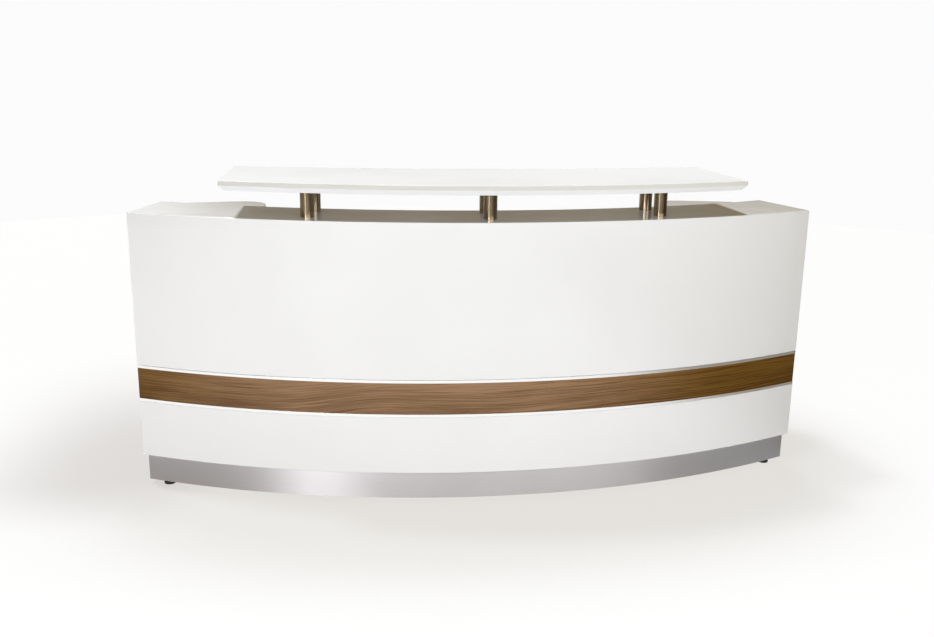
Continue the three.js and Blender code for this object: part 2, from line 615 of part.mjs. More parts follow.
for (const name of drawerNames) {
  const height = name === 'bottom' ? bottomFrontHeight : DRAWER_FRONT_HEIGHT;
  const boxHeight = height - DRAWER_BOX_LIFT - DRAWER_BOX_DROP;
  const boxZ = drawerZ + DRAWER_BOX_LIFT;
  const handleX = (PEDESTAL_X + PARTITION_X) / 2;
  const handleZ = drawerZ + height - HANDLE_DROP - HANDLE_HEIGHT / 2;
  add(`${name}_drawer_front`, drawerFront(height), whiteLacquer, drawerZ);
  add(`${name}_drawer_box`, drawerBox(boxHeight), whiteBoard, boxZ);
  add(`${name}_drawer_handle`, handle(), brushedSteel, handleZ, handleX, PANEL_REAR);
  add(`${name}_left_runner`, runner(true), greyPlastic, boxZ + RUNNER_LIFT);
  add(`${name}_right_runner`, runner(false), greyPlastic, boxZ + RUNNER_LIFT);
  drawerZ += height + DRAWER_FRONT_GAP;
}

// Counter top on its three pairs of posts
add('counter_top', counterTop(), whiteSatin, COUNTER_Z);
for (const [side, step] of Object.entries({ left: -1, centre: 0, right: 1 })) {
  const front = onArc(step * POST_SPACING, POST_SETBACK);
  const rearX = front.x - step * POST_PAIR_TOE_IN + POST_REAR_SHIFT;
  const rearY = front.y + POST_PAIR_DEPTH;
  add(`front_${side}_post`, post(), brushedSteel, FASCIA_TOP, front.x, front.y);
  add(`rear_${side}_post`, post(), brushedSteel, FASCIA_TOP, rearX, rearY);
}

for (const [name, place] of Object.entries(feet)) {
  add(name, foot(), blackPlastic, 0, place.x, place.y);
}

// The finished desk, with its origin below the middle of its box
const frontmost = -COUNTER_OVERHANG;
plan.position.y = -Math.round(frontmost + wing.rearmost) / 2;
const desk = new THREE.Group();
desk.name = 'reception_desk';
desk.add(plan);

export default desk;
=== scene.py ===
"""Looks for a bowed white reception desk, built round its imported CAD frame. Metres, +Z up, visitors at -Y."""
import json
import math

import bpy
import numpy as np
from mathutils import Matrix, Vector


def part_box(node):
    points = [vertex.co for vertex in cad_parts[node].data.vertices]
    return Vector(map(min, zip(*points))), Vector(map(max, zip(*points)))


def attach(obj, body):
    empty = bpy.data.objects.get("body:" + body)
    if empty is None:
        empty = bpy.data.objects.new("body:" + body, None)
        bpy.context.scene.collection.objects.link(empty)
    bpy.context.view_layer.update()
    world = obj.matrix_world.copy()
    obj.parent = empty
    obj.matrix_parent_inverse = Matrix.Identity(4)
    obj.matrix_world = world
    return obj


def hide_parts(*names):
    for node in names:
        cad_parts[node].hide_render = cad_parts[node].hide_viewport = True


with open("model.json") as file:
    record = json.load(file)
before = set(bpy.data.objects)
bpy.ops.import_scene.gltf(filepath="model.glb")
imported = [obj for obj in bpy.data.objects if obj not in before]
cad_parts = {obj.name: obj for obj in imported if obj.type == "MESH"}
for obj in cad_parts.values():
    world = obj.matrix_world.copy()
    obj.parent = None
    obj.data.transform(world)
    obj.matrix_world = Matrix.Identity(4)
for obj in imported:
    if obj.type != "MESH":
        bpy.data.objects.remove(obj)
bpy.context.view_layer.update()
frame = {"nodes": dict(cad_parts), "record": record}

# Plan of the desk, as the CAD has it
BOW_RADIUS = 2.817
FRONT_Y = -0.3585  # the middle of the visitor's face
BOW_CENTRE = FRONT_Y + BOW_RADIUS
HALF_WIDTH = 1.2
SPLAY = math.radians(12)
CORNER_Y = BOW_CENTRE - math.sqrt(BOW_RADIUS**2 - HALF_WIDTH**2)
GAP = 0.0003

# Depths behind the visitor's face
TRIM_FRONT = 0.001
BAND_FRONT = 0.002
FASCIA = 0.016
CORE_DEPTH = FASCIA + GAP
PLATE_FRONT, PLATE_BACK = 0.0205, 0.022
FRONT_WALL = 0.092
STAFF_DEPTH = FRONT_WALL + GAP
SHELF_DEPTH = 0.297
WING_REAR = 0.759

# Boards, and their places along the desk
LINING = 0.012
GABLE = 0.025
INSIDE_GABLE = GABLE + GAP
PARTITION = 0.018
PARTITION_X = 0.79
PLATE_INSET = 0.0115
WING_X = 0.776
WING_REACH = 0.058  # from the wing's outer rear corner back to its inner one
WING_CORNER = 0.09

# Counter top: reaches are from the visitor's face
COUNTER_HALF = 0.874
COUNTER_FRONT, COUNTER_FRONT_RADIUS = 0.08, 2.639
COUNTER_REAR, COUNTER_REAR_RADIUS = 0.47, 3.749
COUNTER_CORNER, LEAST_CORNER = 0.007, 0.003
COUNTER_EDGE, BEVEL_EDGE = 0.002, 0.004
BEVEL = 0.016
UNDERSIDE = 0.02  # how far in the edge's profile starts

# Small parts
POST_RADIUS, POST_EDGE = 0.0225, 0.0006
HANDLE_BAR, HANDLE_EDGE = 0.009, 0.0015
HANDLE_FOOT, HANDLE_BEND, HANDLE_INSIDE = 0.0035, 0.012, 0.003
LINER_MIDDLE, LINER_OUTSIDE, LINER_BORE, LINER_EDGE = 0.03, 0.0297, 0.0247, 0.0005
FLANGE_RADIUS, FLANGE_HEIGHT, FLANGE_EDGE = 0.037, 0.002, 0.0012
SEAT_RADIUS, SEAT_DEPTH, SEAT_EDGE = 0.0272, 0.005, 0.0006
CAP_RADIUS, CAP_EDGE, CAP_CORNER = 0.0269, 0.0004, 0.001
SLOT_HALF, SLOT_REACH = 0.011, 0.009
FOOT_RADIUS, FOOT_RIM, FOOT_SHOULDER, FOOT_HEIGHT = 0.02, 0.0067, 0.0167, 0.01
FOOT_EDGE, RIM_EDGE = 0.0012, 0.0015
STEM_RADIUS, STEM_EDGE = 0.004, 0.0006

# Roundings; a corner in plan is rounder than the edges above and below it
LACQUER_EDGE = 0.0012
BOARD_EDGE = 0.0008
SHEET_EDGE = 0.0003
CAD_EDGE = 0.0007
PLAN_CORNER = 2.2

# Steps: round a rounding, along an arc, round a whole circle
EASE_STEPS, HANDLE_STEPS, COUNTER_STEPS = 5, 8, 10
BOW_STEPS, BOARD_STEPS, CAP_STEPS = 120, 24, 72
RING_STEPS, FOOT_STEPS, FLOOR_STEPS = 64, 48, 96


def gable_x(y, inset):
    """X of the line that lies an inset inside the right gable's outer face, which turns in by the splay."""
    return HALF_WIDTH - (y - CORNER_Y) * math.tan(SPLAY) - inset / math.cos(SPLAY)


def bow_end(depth, inset):
    """Where an arc meets a gable line.

    With v the distance forward of the centre, x = a + t v and x^2 + v^2 = r^2.
    """
    radius, t, a = BOW_RADIUS - depth, math.tan(SPLAY), gable_x(BOW_CENTRE, inset)
    v = (-a * t + math.sqrt(radius**2 * (1 + t * t) - a * a)) / (1 + t * t)
    return a + t * v, BOW_CENTRE - v


def arc(centre, radius, x0, x1, steps=BOW_STEPS):
    """Points at even angles of an arc about (0, centre) from x0 to x1: x = r sin a, y = centre - r cos a."""
    angle = np.linspace(math.asin(x0 / radius), math.asin(x1 / radius), steps + 1)
    return np.column_stack((radius * np.sin(angle), centre - radius * np.cos(angle)))


def bow_arc(depth, x0, x1, steps=BOW_STEPS):
    """Points of the arc that lies a depth behind the visitor's face."""
    return arc(BOW_CENTRE, BOW_RADIUS - depth, x0, x1, steps)


def unit(v):
    """Each row divided by its length, with rows of no length left at zero."""
    length = np.linalg.norm(v, axis=1, keepdims=True)
    return v / np.where(length > 1e-12, length, 1)


def eased(points, radii, closed=True, steps=EASE_STEPS):
    """Rounds an anticlockwise outline, or an open profile walked with its outside on the right.

    A corner p with unit directions a and b to its neighbours becomes an arc of radius r about
    p + (a + b) / |a + b| * r / sin(half the angle between them). Normals point away from that
    centre, or towards it at a hollow corner. A point with no radius lies on a smooth run: it
    stays, with its normal square to the line between its neighbours. Gives the points and
    their normals.
    """
    p = np.asarray(points, float)
    r = np.broadcast_to(np.asarray(radii, float), len(p))
    before, after = np.roll(p, 1, 0), np.roll(p, -1, 0)
    if not closed:
        before[0], after[-1] = p[0], p[-1]
    a, b, along = unit(before - p), unit(after - p), unit(after - before)
    half = np.arccos(np.clip((a * b).sum(1), -1, 1)) / 2
    half = np.where(r > 0, half, math.pi / 4)
    centre = p + unit(a + b) * (r / np.sin(half))[:, None]
    start = p + a * (r / np.tan(half))[:, None] - centre
    end = p + b * (r / np.tan(half))[:, None] - centre
    turn = np.arctan2(start[:, 0] * end[:, 1] - start[:, 1] * end[:, 0], (start * end).sum(1))
    count = np.where(r > 0, steps + 1, 1)
    which = np.repeat(np.arange(len(p)), count)
    share = (np.arange(len(which)) - np.repeat(np.cumsum(count) - count, count)) / steps
    cos, sin = np.cos(turn[which] * share), np.sin(turn[which] * share)
    s = start[which]
    arm = np.column_stack((s[:, 0] * cos - s[:, 1] * sin, s[:, 0] * sin + s[:, 1] * cos))
    rounded = (r[which] > 0)[:, None]
    flat_normal = np.column_stack((along[:, 1], -along[:, 0]))[which]
    place = np.where(rounded, centre[which] + arm, p[which])
    normal = np.where(rounded, unit(arm) * np.sign(turn[which])[:, None], flat_normal)
    return place, normal


def circle(x, y, radius, steps=RING_STEPS):
    """A round outline about (x, y), with its normals."""
    angle = np.arange(steps) * (2 * math.pi / steps)
    normal = np.column_stack((np.cos(angle), np.sin(angle)))
    return normal * radius + (x, y), normal


def edge_profile(low, high, edge):
    """A board's edge from its underside to its top, both rounded: points (distance outwards, height)."""
    points = [(-2 * edge, low), (0, low), (0, high), (-2 * edge, high)]
    return eased(points, [0, edge, edge, 0], closed=False)


def shell(name, outline, profile, ring=False, step=None):
    """A closed solid from a plan outline and an edge profile.

    Row k and column i hold the point p_i + s_i w_k at height z_k, with p and n the outline's
    points and normals, (w, z) the profile's points and s the normals n, or else the given steps
    outwards. The normal is n_i times the profile normal's first part, with its second part
    upwards. Two flat faces close the solid, or the profile closes on itself round a ring. The
    UV map is in metres: round the outline, and along the profile.
    """
    (place, out), (edge, lean) = outline, profile
    rows, count = len(edge), len(place)
    points, normals = np.empty((rows, count, 3)), np.empty((rows, count, 3))
    points[..., :2] = place + (out if step is None else step) * edge[:, 0][:, None, None]
    points[..., 2] = edge[:, 1][:, None]
    normals[..., :2] = out * lean[:, 0][:, None, None]
    normals[..., 2] = lean[:, 1][:, None]
    bands = rows if ring else rows - 1
    k, i = np.meshgrid(np.arange(bands), np.arange(count), indexing="ij")
    k1, i1 = (k + 1) % rows, (i + 1) % count
    quads = np.stack((k * count + i, k * count + i1, k1 * count + i1, k1 * count + i), -1).reshape(-1, 4)
    around = np.append(0, np.cumsum(np.linalg.norm(np.roll(place, -1, 0) - place, axis=1)))
    upward = np.append(0, np.cumsum(np.linalg.norm(np.roll(edge, -1, 0) - edge, axis=1)))
    u = np.stack((around[i], around[i + 1], around[i + 1], around[i]), -1).reshape(-1)
    v = np.stack((upward[k], upward[k], upward[k + 1], upward[k + 1]), -1).reshape(-1)
    uv = np.column_stack((u, v))
    faces = quads.tolist()
    flat = points.reshape(-1, 3)
    if not ring:
        base, lid = np.arange(count)[::-1], np.arange(count) + (rows - 1) * count
        faces += [base.tolist(), lid.tolist()]
        uv = np.vstack((uv, flat[base, :2], flat[lid, :2]))
    mesh = bpy.data.meshes.new(name)
    mesh.from_pydata(flat.tolist(), [], faces)
    mesh.uv_layers.new(name="along").data.foreach_set("uv", uv.astype(np.float32).ravel())
    mesh.polygons.foreach_set("use_smooth", np.ones(len(faces), bool))
    mesh.normals_split_custom_set_from_vertices(normals.reshape(-1, 3).tolist())
    piece = bpy.data.objects.new(name, mesh)
    bpy.context.scene.collection.objects.link(piece)
    return piece


def heights(node):
    """The lowest and highest level of a CAD node."""
    low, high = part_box(node)
    return low.z, high.z


class Field:
    """A shader value or colour. Operators on values add Math nodes to the finish that it belongs to."""

    def __init__(self, finish, socket):
        self.finish, self.socket = finish, socket

    def math(self, operation, *values):
        return self.finish.node("ShaderNodeMath", {"operation": operation}, dict(enumerate(values)))

    def __add__(self, other):
        return self.math("ADD", self, other)

    def __sub__(self, other):
        return self.math("SUBTRACT", self, other)

    def __rsub__(self, other):
        return self.math("SUBTRACT", other, self)

    def __mul__(self, other):
        return self.math("MULTIPLY", self, other)

    def __pow__(self, other):
        return self.math("POWER", self, other)

    __radd__, __rmul__ = __add__, __mul__

    def between(self, low, high):
        """0 below low, 1 above high and a smooth step between them."""
        settings = {"interpolation_type": "SMOOTHSTEP"}
        return self.finish.node("ShaderNodeMapRange", settings, {0: self, 1: low, 2: high})


class Finish:
    """A node tree of a new material or of a given world."""

    def __init__(self, name, world=None):
        self.owner = world or bpy.data.materials.new(name)
        self.owner.use_nodes = True
        self.tree = self.owner.node_tree
        self.tree.nodes.clear()

    def node(self, kind, settings=None, inputs=None, output=0):
        """Adds a node, sets it up, feeds its sockets and gives one of its outputs."""
        made = self.tree.nodes.new(kind)
        for key, value in (settings or {}).items():
            setattr(made, key, value)
        for key, value in (inputs or {}).items():
            if isinstance(value, Field):
                self.tree.links.new(value.socket, made.inputs[key])
            else:
                made.inputs[key].default_value = value
        return Field(self, made.outputs[output])

    def place(self, stretch=(1, 1, 1), along=False):
        """Object coordinates, or the piece's own run along its outline, stretched along each axis."""
        coordinates = self.node("ShaderNodeTexCoord", output="UV" if along else "Object")
        return self.node("ShaderNodeMapping", {}, {"Vector": coordinates, "Scale": stretch})

    def axis(self, vector, number):
        """One coordinate of a vector: number 0, 1 or 2."""
        return self.node("ShaderNodeSeparateXYZ", {}, {0: vector}, output=number)

    def noise(self, vector, scale=1.0, detail=3.0, roughness=0.5):
        sizes = {"Scale": scale, "Detail": detail, "Roughness": roughness}
        return self.node("ShaderNodeTexNoise", {}, {"Vector": vector, **sizes})

    def tint(self, mask, low, high):
        """A colour from low, where the mask is 0, to high, where it is 1."""
        return self.node("ShaderNodeMix", {"data_type": "RGBA"}, {0: mask, 6: low, 7: high}, output=2)

    def bump(self, height, distance):
        sizes = {"Height": height, "Distance": distance, "Strength": 1.0}
        return self.node("ShaderNodeBump", {}, sizes)

    def surface(self, **sockets):
        """The finished material, with a shader whose sockets are named with _ for each space."""
        named = {key.replace("_", " "): value for key, value in sockets.items()}
        shader = self.node("ShaderNodeBsdfPrincipled", {}, named)
        return self.finished(shader, "ShaderNodeOutputMaterial")

    def finished(self, shader, kind):
        end = self.tree.nodes.new(kind)
        self.tree.links.new(shader.socket, end.inputs["Surface"])
        return self.owner


def colour(red, green, blue):
    """A linear colour from the three parts of a display colour, each 0 to 255."""
    c = np.array((red, green, blue)) / 255
    linear = np.where(c <= 0.04045, c / 12.92, ((c + 0.055) / 1.055) ** 2.4)
    return (*linear.tolist(), 1.0)


def white_lacquer():
    """Sprayed and polished: a faint orange peel, slow drifts of shade and thin wiping marks in the gloss."""
    f = Finish("white_lacquer")
    near = f.place()
    peel = f.noise(near, scale=170, detail=2)
    drift = f.noise(near, scale=1.7, detail=2).between(0.3, 0.7)
    wiped = f.noise(f.place((3, 3, 14)), scale=2.2, detail=5, roughness=0.65).between(0.35, 0.75)
    return f.surface(
        Base_Color=f.tint(drift, colour(229, 230, 231), colour(233, 234, 235)),
        Roughness=0.13 + wiped * 0.07,
        Normal=f.bump(peel, 0.00004),
        Coat_Weight=0.5,
        Coat_Roughness=0.06,
    )


def white_satin():
    """Counter: a fine dry texture, white also at a low angle, with a darker white painted round its upright
    edge as shade.
    """
    f = Finish("white_satin")
    near = f.place()
    low, high = heights("counter_top")
    blend = 0.0005
    edge_low, edge_high = low + BEVEL, high - COUNTER_EDGE + blend
    height = f.axis(near, 2)
    # A band round the upright edge, painted a darker white as shade
    above = height.between(edge_low - blend, edge_low + blend)
    band = above - height.between(edge_high - blend, edge_high + blend)
    fine = f.noise(near, scale=1100, detail=2)
    drift = f.noise(near, scale=2.3, detail=4).between(0.3, 0.7)
    white = f.tint(drift, colour(222, 223, 225), colour(226, 227, 229))
    return f.surface(
        Base_Color=f.tint(band, white, colour(210, 209, 205)),
        Roughness=0.52 + drift * 0.08,
        Normal=f.bump(fine, 0.00005),
        Specular_IOR_Level=0.06,
    )


def white_board():
    """Faced board: a fine pearl texture, satin, with a few duller patches."""
    f = Finish("white_board")
    near = f.place()
    pearl = f.noise(near, scale=900, detail=2)
    patch = f.noise(near, scale=4, detail=4).between(0.35, 0.7)
    return f.surface(
        Base_Color=f.tint(patch, colour(224, 224, 221), colour(229, 229, 226)),
        Roughness=0.38 + patch * 0.1,
        Normal=f.bump(pearl, 0.00006),
    )


def walnut():
    """Quarter-cut veneer: long lines that waver together along the band, and short dark pores.

    It is paler in the middle of the desk, partly by its tone and partly by a painted sheen, and more even in
    height towards the visitor's right.
    """
    f = Finish("walnut")
    across = f.axis(f.place(), 0)
    # Paler in the middle: partly the wood's tone, partly a painted sheen
    middle_tone_and_sheen = across.between(-1.38, -0.6) - across.between(0.12, 0.88)
    even = across.between(0.3, 1.0)
    lean = across.between(-0.75, -0.3) * 0.045
    run = f.place(along=True)
    u, v = f.axis(run, 0), f.axis(run, 1)
    sway = f.noise(f.place((1.3, 5, 1), along=True), scale=1.0, detail=2, roughness=0.4)
    wavering = v + sway * 0.06 - u * 0.008 - lean

    def lines(length, fineness, detail, roughness=0.5):
        vector = f.node("ShaderNodeCombineXYZ", {}, {0: u * length, 1: wavering * fineness})
        return f.noise(vector, detail=detail, roughness=roughness)

    broad = lines(0.9, 34, 2)
    streak = lines(1.8, 240, 4, 0.6)
    fine = lines(4, 430, 3, 0.65)
    pore = lines(34, 1900, 2).between(0.6, 0.72)
    rise = v * (1.4 - even * 0.9) + even * 0.05
    light = (broad * 0.2 + streak * 0.6 + fine * 0.95 + rise - 0.285).between(0.53, 0.8)
    low = f.tint(middle_tone_and_sheen, colour(72, 45, 6), colour(110, 82, 56))
    high = f.tint(middle_tone_and_sheen, colour(115, 82, 28), colour(153, 121, 92))
    return f.surface(
        Base_Color=f.tint(pore * 0.4, f.tint(light, low, high), colour(62, 42, 24)),
        Roughness=0.42 + streak * 0.12 + pore * 0.1,
        Normal=f.bump(streak - pore * 0.6, 0.0001),
        Specular_IOR_Level=0.12,
    )


def plywood():
    """Raw board with soft long grain."""
    f = Finish("plywood")
    grain = f.noise(f.place((2, 60, 60)), scale=1.5, detail=5).between(0.3, 0.75)
    return f.surface(
        Base_Color=f.tint(grain, colour(160, 124, 82), colour(206, 174, 128)),
        Roughness=0.62 + grain * 0.2,
        Normal=f.bump(grain, 0.0003),
    )


def black_board():
    """Black faced board: matt, with a fine hammered texture and some dust."""
    f = Finish("black_board")
    near = f.place()
    hammer = f.noise(near, scale=700, detail=2)
    dust = f.noise(near, scale=11, detail=5).between(0.45, 0.8)
    return f.surface(
        Base_Color=f.tint(dust, colour(30, 30, 32), colour(44, 44, 45)),
        Roughness=0.5 + dust * 0.18,
        Normal=f.bump(hammer, 0.0001),
    )


def brushed(name, stretch, dark, bright, rough, scatter):
    """Brushed metal: fine lines along the piece vary its shade and gloss and scatter light across them."""
    f = Finish(name)
    line = f.noise(f.place(stretch, along=True), scale=1.0, detail=4, roughness=0.7)
    cloud = f.noise(f.place(), scale=5, detail=3).between(0.3, 0.75)
    return f.surface(
        Base_Color=f.tint(line * 0.7 + cloud * 0.25, colour(*dark), colour(*bright)),
        Metallic=1.0,
        Roughness=rough + line * 0.1 + cloud * 0.04,
        Normal=f.bump(line, 0.00003),
        Anisotropic=scatter,
        Anisotropic_Rotation=0.25,
    )


def moulded(name, low, high, rough):
    """Moulded plastic with a fine eroded texture."""
    f = Finish(name)
    near = f.place()
    grain = f.noise(near, scale=1600, detail=2)
    worn = f.noise(near, scale=30, detail=4).between(0.4, 0.75)
    return f.surface(
        Base_Color=f.tint(worn, colour(*low), colour(*high)),
        Roughness=rough + worn * 0.12,
        Normal=f.bump(grain, 0.00008),
    )


finishes = {
    "white_lacquer": white_lacquer(),
    "white_satin": white_satin(),
    "white_board": white_board(),
    "walnut": walnut(),
    "plywood": plywood(),
    "black_board": black_board(),
    "aluminium_trim": brushed("aluminium_trim", (4, 2600, 1), (244, 244, 243), (254, 254, 253), 0.12, 0.5),
    "brushed_steel": brushed("brushed_steel", (3, 2400, 1), (203, 202, 207), (233, 232, 237), 0.4, 0.95),
    "post_steel": brushed("post_steel", (5, 2600, 1), (122, 108, 87), (184, 167, 142), 0.12, 0.5),
    "grey_plastic": moulded("grey_plastic", (128, 130, 133), (146, 148, 151), 0.42),
    "black_plastic": moulded("black_plastic", (22, 22, 23), (36, 36, 37), 0.45),
}
record = frame["record"]
slots = {part["node"]: part["material_slot"] for part in record["subparts"]}
bodies = {node: body for body, nodes in record["behaviour"]["bodies"].items() for node in nodes}


def smooth(node, outline, profile, finish=None, **form):
    """Builds the shell that takes a CAD node's place, body, slot and finish."""
    piece = shell("smooth_" + node, outline, profile, **form)
    piece.data.materials.append(finishes[finish or slots[node]])
    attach(piece, bodies[node])
    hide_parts(node)


def bowed_layer(node, front, back, inset, edge):
    """A layer of the front wall between two arcs on one centre, cut off along both gables."""
    front_x, back_x = bow_end(front, inset)[0], bow_end(back, inset)[0]
    points = np.vstack((bow_arc(front, -front_x, front_x), bow_arc(back, back_x, -back_x)))
    radii = np.zeros(len(points))
    radii[[0, BOW_STEPS, BOW_STEPS + 1, -1]] = PLAN_CORNER * edge
    smooth(node, eased(points, radii), edge_profile(*heights(node), edge))


def bowed_board(node, side, front_x, end_x, corners, corner_radii, edge):
    """A board whose front follows the staff's face from front_x to end_x, then runs round straight corners.

    side is 1 at the visitor's right and -1 at the left, where the outline is mirrored and
    walked the other way.
    """
    front = bow_arc(STAFF_DEPTH, front_x, end_x, BOARD_STEPS)
    points = np.vstack((front, corners))
    radii = np.zeros(len(points))
    radii[[0, BOARD_STEPS]] = PLAN_CORNER * edge
    radii[BOARD_STEPS + 1:] = corner_radii
    if side < 0:
        points, radii = (points * (-1, 1))[::-1], radii[::-1]
    smooth(node, eased(points, radii), edge_profile(*heights(node), edge))


# Front wall
bowed_layer("upper_fascia_panel", 0, FASCIA, 0, LACQUER_EDGE)
bowed_layer("lower_fascia_panel", 0, FASCIA, 0, BOARD_EDGE)
bowed_layer("walnut_band", BAND_FRONT, FASCIA, 0, BOARD_EDGE)
bowed_layer("upper_band_trim", TRIM_FRONT, FASCIA, 0, SHEET_EDGE)
bowed_layer("lower_band_trim", TRIM_FRONT, FASCIA, 0, SHEET_EDGE)
bowed_layer("top_shelf", CORE_DEPTH, SHELF_DEPTH, 0, LACQUER_EDGE)
bowed_layer("inner_lining", FRONT_WALL - LINING, FRONT_WALL, INSIDE_GABLE, BOARD_EDGE)
bowed_layer("kick_plate", PLATE_FRONT, PLATE_BACK, PLATE_INSET, SHEET_EDGE)

# Ends and towers
for name, side in (("left", -1), ("right", 1)):
    gable = f"{name}_gable"
    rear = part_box(gable)[1].y
    inner_front, outer_front = bow_end(CORE_DEPTH, GABLE), bow_end(CORE_DEPTH, 0)
    points = np.array([inner_front, outer_front, (gable_x(rear, 0), rear), (gable_x(rear, GABLE), rear)])
    points = points if side > 0 else (points * (-1, 1))[::-1]
    outline = eased(points, PLAN_CORNER * LACQUER_EDGE)
    smooth(gable, outline, edge_profile(*heights(gable), LACQUER_EDGE))

    inner_x = PARTITION_X + PARTITION
    end_x = bow_end(STAFF_DEPTH, INSIDE_GABLE)[0]
    for board in (f"{name}_tower_floor", f"{name}_tower_shelf"):
        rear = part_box(board)[1].y
        corners = [(gable_x(rear, INSIDE_GABLE), rear), (inner_x, rear)]
        bowed_board(board, side, inner_x, end_x, corners, PLAN_CORNER * BOARD_EDGE, BOARD_EDGE)

    rear = FRONT_Y + WING_REAR
    corners = [(gable_x(rear, INSIDE_GABLE), rear), (WING_X, rear + WING_REACH)]
    radii = [PLAN_CORNER * LACQUER_EDGE, WING_CORNER]
    bowed_board(f"{name}_wing_top", side, WING_X, end_x, corners, radii, LACQUER_EDGE)


def counter_outline(inset):
    """The counter's plan, drawn in by an inset: bowed front, straight ends, hollow back, small corners."""
    x = COUNTER_HALF - inset
    front = arc(FRONT_Y - COUNTER_FRONT + COUNTER_FRONT_RADIUS, COUNTER_FRONT_RADIUS - inset, -x, x)
    rear = arc(FRONT_Y + COUNTER_REAR + COUNTER_REAR_RADIUS, COUNTER_REAR_RADIUS + inset, x, -x)
    radii = np.zeros(2 * BOW_STEPS + 2)
    radii[[0, BOW_STEPS, BOW_STEPS + 1, -1]] = max(COUNTER_CORNER - inset, LEAST_CORNER)
    return eased(np.vstack((front, rear)), radii, steps=COUNTER_STEPS)


# Counter top: an upright edge above a bevel that thins its underside
low, high = heights("counter_top")
points = [(-UNDERSIDE, low), (-BEVEL, low), (0, low + BEVEL), (0, high), (-3 * COUNTER_EDGE, high)]
profile = eased(points, [0, COUNTER_EDGE, BEVEL_EDGE, COUNTER_EDGE, 0], closed=False)
outline, drawn_in = counter_outline(0), counter_outline(UNDERSIDE)[0]
smooth("counter_top", outline, profile, step=(outline[0] - drawn_in) / UNDERSIDE)

for row in ("front", "rear"):
    for name in ("left", "centre", "right"):
        node = f"{row}_{name}_post"
        low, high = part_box(node)
        outline = circle((low.x + high.x) / 2, (low.y + high.y) / 2, POST_RADIUS)
        smooth(node, outline, edge_profile(low.z, high.z, POST_EDGE), "post_steel")

# Drawer fronts and their bow handles
for name in ("bottom", "middle", "top"):
    node = f"{name}_drawer_front"
    low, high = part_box(node)
    points = [(low.x, low.y), (high.x, low.y), (high.x, high.y), (low.x, high.y)]
    outline = eased(points, PLAN_CORNER * LACQUER_EDGE)
    smooth(node, outline, edge_profile(low.z, high.z, LACQUER_EDGE))

    node = f"{name}_drawer_handle"
    low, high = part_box(node)
    left, right, reach = low.x + HANDLE_BAR, high.x - HANDLE_BAR, high.y - HANDLE_BAR
    points = [
        (right, low.y), (high.x, low.y), (high.x, high.y), (low.x, high.y),
        (low.x, low.y), (left, low.y), (left, reach), (right, reach),
    ]
    radii = [HANDLE_FOOT] * 2 + [HANDLE_BEND] * 2 + [HANDLE_FOOT] * 2 + [HANDLE_INSIDE] * 2
    smooth(node, eased(points, radii, steps=HANDLE_STEPS), edge_profile(low.z, high.z, HANDLE_EDGE))

# Cable grommets: a flanged liner, and a cap with a slot for the cables in its seat
for name in ("left", "right"):
    node = f"{name}_grommet_liner"
    low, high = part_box(node)
    x, y = (low.x + high.x) / 2, (low.y + high.y) / 2
    flange, seat = high.z - FLANGE_HEIGHT, high.z - SEAT_DEPTH
    points = [
        (LINER_OUTSIDE, low.z), (LINER_OUTSIDE, flange), (FLANGE_RADIUS, flange), (FLANGE_RADIUS, high.z),
        (SEAT_RADIUS, high.z), (SEAT_RADIUS, seat), (LINER_BORE, seat), (LINER_BORE, low.z),
    ]
    radii = [LINER_EDGE, 0, SEAT_EDGE, FLANGE_EDGE, SEAT_EDGE, 0, LINER_EDGE, LINER_EDGE]
    profile = eased(np.array(points) - (LINER_MIDDLE, 0), radii)
    smooth(node, circle(x, y, LINER_MIDDLE), profile, ring=True)

    node = f"{name}_grommet_cap"
    rim = math.asin(SLOT_HALF / CAP_RADIUS)
    angle = np.linspace(math.pi / 2 + rim, 5 * math.pi / 2 - rim, CAP_STEPS + 1)
    round_side = np.column_stack((CAP_RADIUS * np.cos(angle), CAP_RADIUS * np.sin(angle)))
    points = np.vstack((round_side, [(SLOT_HALF, SLOT_REACH), (-SLOT_HALF, SLOT_REACH)])) + (x, y)
    radii = np.zeros(len(points))
    radii[[0, CAP_STEPS, CAP_STEPS + 1, CAP_STEPS + 2]] = CAP_CORNER
    smooth(node, eased(points, radii), edge_profile(*heights(node), CAP_EDGE))

# Levelling feet: a pad with a sloping shoulder, and a stem
for node in [n for n in slots if n.endswith("_foot")]:
    low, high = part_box(node)
    points = [
        (0.8 * FOOT_RADIUS, 0), (FOOT_RADIUS, 0), (FOOT_RADIUS, FOOT_RIM), (FOOT_SHOULDER, FOOT_HEIGHT),
        (STEM_RADIUS, FOOT_HEIGHT), (STEM_RADIUS, high.z), (0.25 * STEM_RADIUS, high.z),
    ]
    radii = [0, FOOT_EDGE, RIM_EDGE, FOOT_EDGE, STEM_EDGE, STEM_EDGE, 0]
    profile = eased(np.array(points) - (FOOT_RADIUS, 0), radii, closed=False)
    smooth(node, circle((low.x + high.x) / 2, (low.y + high.y) / 2, FOOT_RADIUS, FOOT_STEPS), profile)

# CAD nodes that stay: their own finishes, and eased edges
for node, piece in frame["nodes"].items():
    if piece.hide_render:
        continue
    piece.data.materials.clear()
    piece.data.materials.append(finishes[slots[node]])
    weld = piece.modifiers.new("joined", "WELD")
    weld.merge_threshold = 0.00001
    ease = piece.modifiers.new("eased", "BEVEL")
    ease.width = CAD_EDGE
    ease.segments = 2
    ease.limit_method = "ANGLE"
    ease.angle_limit = math.radians(40)
    ease.harden_normals = True
